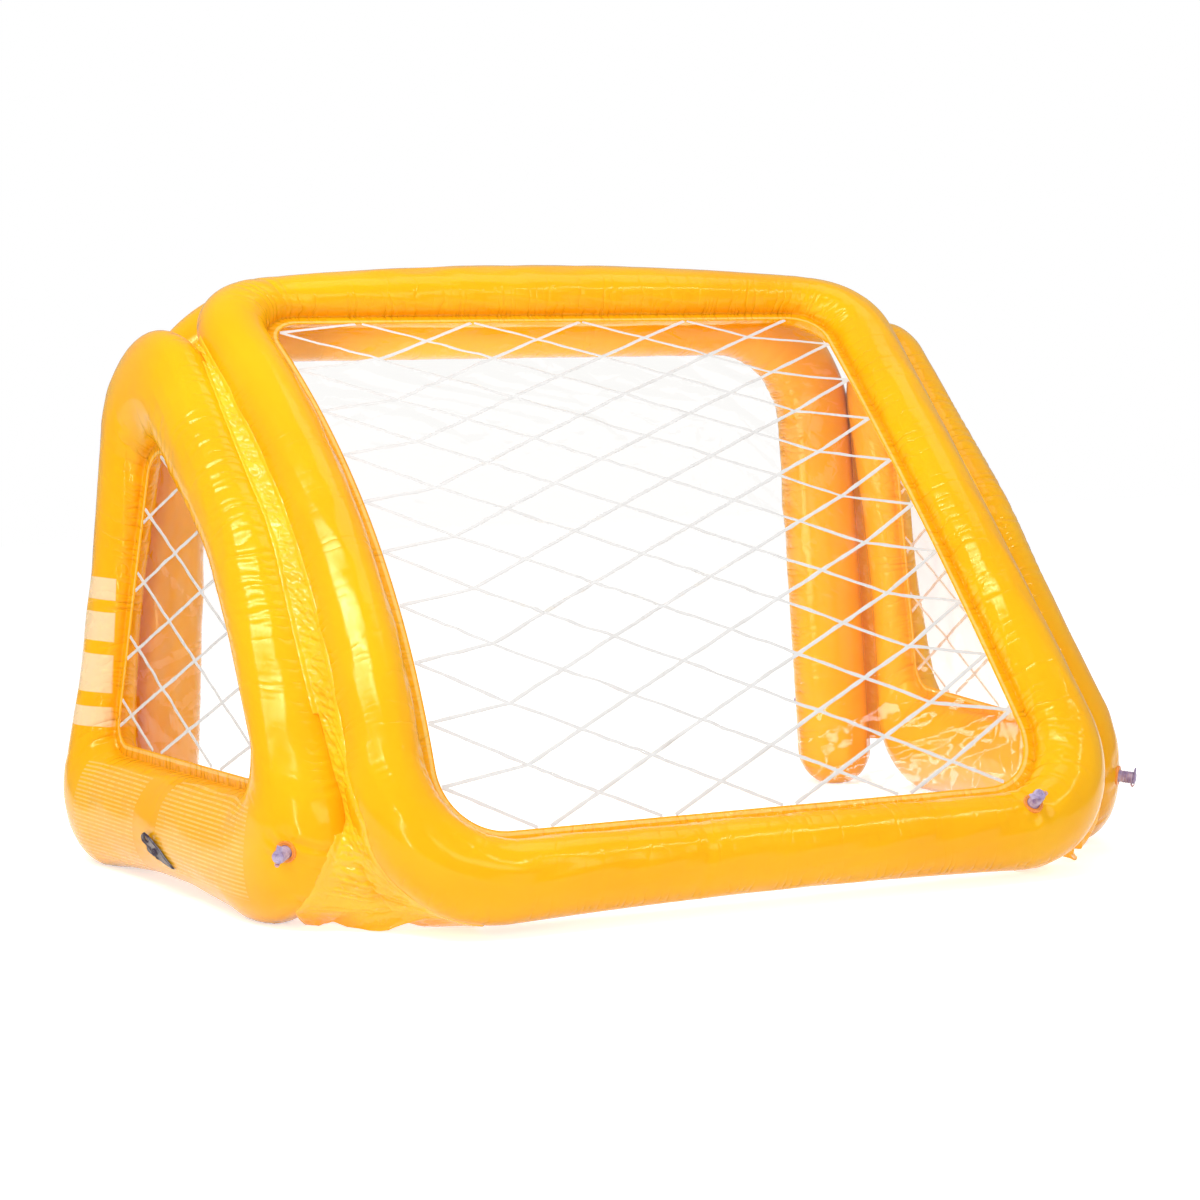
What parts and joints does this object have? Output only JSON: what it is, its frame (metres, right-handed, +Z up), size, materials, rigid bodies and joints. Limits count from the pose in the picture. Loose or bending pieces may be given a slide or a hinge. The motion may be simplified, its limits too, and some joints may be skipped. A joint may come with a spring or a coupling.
{
  "type": "inflatable goal",
  "caption": "Inflatable goal with an arched mouth tube, three-cornered side rings, a leaning back ring, clear windows with a printed net, seams, push-in valves and rope tabs.",
  "frame": {"origin": "on the floor, in the middle of the footprint", "axes": "+Z up, +X to the goal's right as seen from behind it, the mouth faces -Y"},
  "size_m": [1.3754, 0.8892, 0.7863],
  "materials": {
    "orange_vinyl": "glossy welded vinyl",
    "clear_film": "clear film",
    "white_print": "printed ink",
    "valve_base": "glossy moulded vinyl",
    "valve_lilac": "translucent moulded vinyl",
    "dark_tab": "moulded vinyl"
  },
  "bodies": {
    "goal": {"back_frame": "orange_vinyl", "back_net": "white_print", "back_seam_left": "orange_vinyl", "back_seam_right": "orange_vinyl", "back_valve_base": "valve_base", "back_window": "clear_film", "front_seam_left": "orange_vinyl", "front_seam_right": "orange_vinyl", "mouth_frame": "orange_vinyl", "mouth_valve_base": "valve_base", "roof_seam": "orange_vinyl", "rope_tab_left": "dark_tab", "rope_tab_right": "dark_tab", "side_frame_left": "orange_vinyl", "side_frame_right": "orange_vinyl", "side_net_left": "white_print", "side_net_right": "white_print", "side_valve_left_base": "valve_base", "side_valve_right_base": "valve_base", "side_window_left": "clear_film", "side_window_right": "clear_film"},
    "back_valve_stem": {"back_valve_stem": "valve_lilac", "back_valve_strap": "valve_lilac"},
    "back_valve_plug": {"back_valve_plug": "valve_lilac"},
    "back_valve_flap": {"back_valve_flap": "valve_lilac"},
    "side_valve_right_stem": {"side_valve_right_stem": "valve_lilac", "side_valve_right_strap": "valve_lilac"},
    "side_valve_right_plug": {"side_valve_right_plug": "valve_lilac"},
    "side_valve_right_flap": {"side_valve_right_flap": "valve_lilac"},
    "side_valve_left_stem": {"side_valve_left_stem": "valve_lilac", "side_valve_left_strap": "valve_lilac"},
    "side_valve_left_plug": {"side_valve_left_plug": "valve_lilac"},
    "side_valve_left_flap": {"side_valve_left_flap": "valve_lilac"},
    "mouth_valve_stem": {"mouth_valve_stem": "valve_lilac", "mouth_valve_strap": "valve_lilac"},
    "mouth_valve_plug": {"mouth_valve_plug": "valve_lilac"},
    "mouth_valve_flap": {"mouth_valve_flap": "valve_lilac"}
  },
  "joints": [
    {"name": "back_valve_push_in", "type": "slide", "parent": "goal", "child": "back_valve_stem", "axis": [0.0954, 0.7639, 0.6382], "range_m": [-0.015, 0]},
    {"name": "back_valve_plug_pull", "type": "slide", "parent": "back_valve_stem", "child": "back_valve_plug", "axis": [0.0954, 0.7639, 0.6382], "range_m": [0, 0.012], "deforming": ["back_valve_strap"]},
    {"name": "back_valve_flap_open", "type": "hinge", "parent": "back_valve_stem", "child": "back_valve_flap", "pos_m": [-0.35991, 0.4181, 0.09787], "axis": [-0.1242, 0.6453, -0.7538], "range_deg": [0, 60]},
    {"name": "side_valve_right_push_in", "type": "slide", "parent": "goal", "child": "side_valve_right_stem", "axis": [0.6712, 0.7333, -0.1084], "range_m": [-0.015, 0]},
    {"name": "side_valve_right_plug_pull", "type": "slide", "parent": "side_valve_right_stem", "child": "side_valve_right_plug", "axis": [0.6712, 0.7333, -0.1084], "range_m": [0, 0.012], "deforming": ["side_valve_right_strap"]},
    {"name": "side_valve_right_flap_open", "type": "hinge", "parent": "side_valve_right_stem", "child": "side_valve_right_flap", "pos_m": [0.57782, 0.28407, 0.09384], "axis": [0.7192, -0.6088, 0.3348], "range_deg": [0, 60]},
    {"name": "side_valve_left_push_in", "type": "slide", "parent": "goal", "child": "side_valve_left_stem", "axis": [-0.6712, 0.7333, -0.1084], "range_m": [-0.015, 0]},
    {"name": "side_valve_left_plug_pull", "type": "slide", "parent": "side_valve_left_stem", "child": "side_valve_left_plug", "axis": [-0.6712, 0.7333, -0.1084], "range_m": [0, 0.012], "deforming": ["side_valve_left_strap"]},
    {"name": "side_valve_left_flap_open", "type": "hinge", "parent": "side_valve_left_stem", "child": "side_valve_left_flap", "pos_m": [-0.57782, 0.28407, 0.09384], "axis": [0.7192, 0.6088, -0.3348], "range_deg": [0, 60]},
    {"name": "mouth_valve_push_in", "type": "slide", "parent": "goal", "child": "mouth_valve_stem", "axis": [0.2232, -0.9741, -0.0361], "range_m": [-0.015, 0]},
    {"name": "mouth_valve_plug_pull", "type": "slide", "parent": "mouth_valve_stem", "child": "mouth_valve_plug", "axis": [0.2232, -0.9741, -0.0361], "range_m": [0, 0.012], "deforming": ["mouth_valve_strap"]},
    {"name": "mouth_valve_flap_open", "type": "hinge", "parent": "mouth_valve_stem", "child": "mouth_valve_flap", "pos_m": [-0.52297, -0.41509, 0.11345], "axis": [-0.9733, -0.2247, 0.0465], "range_deg": [0, 60]}
  ]
}
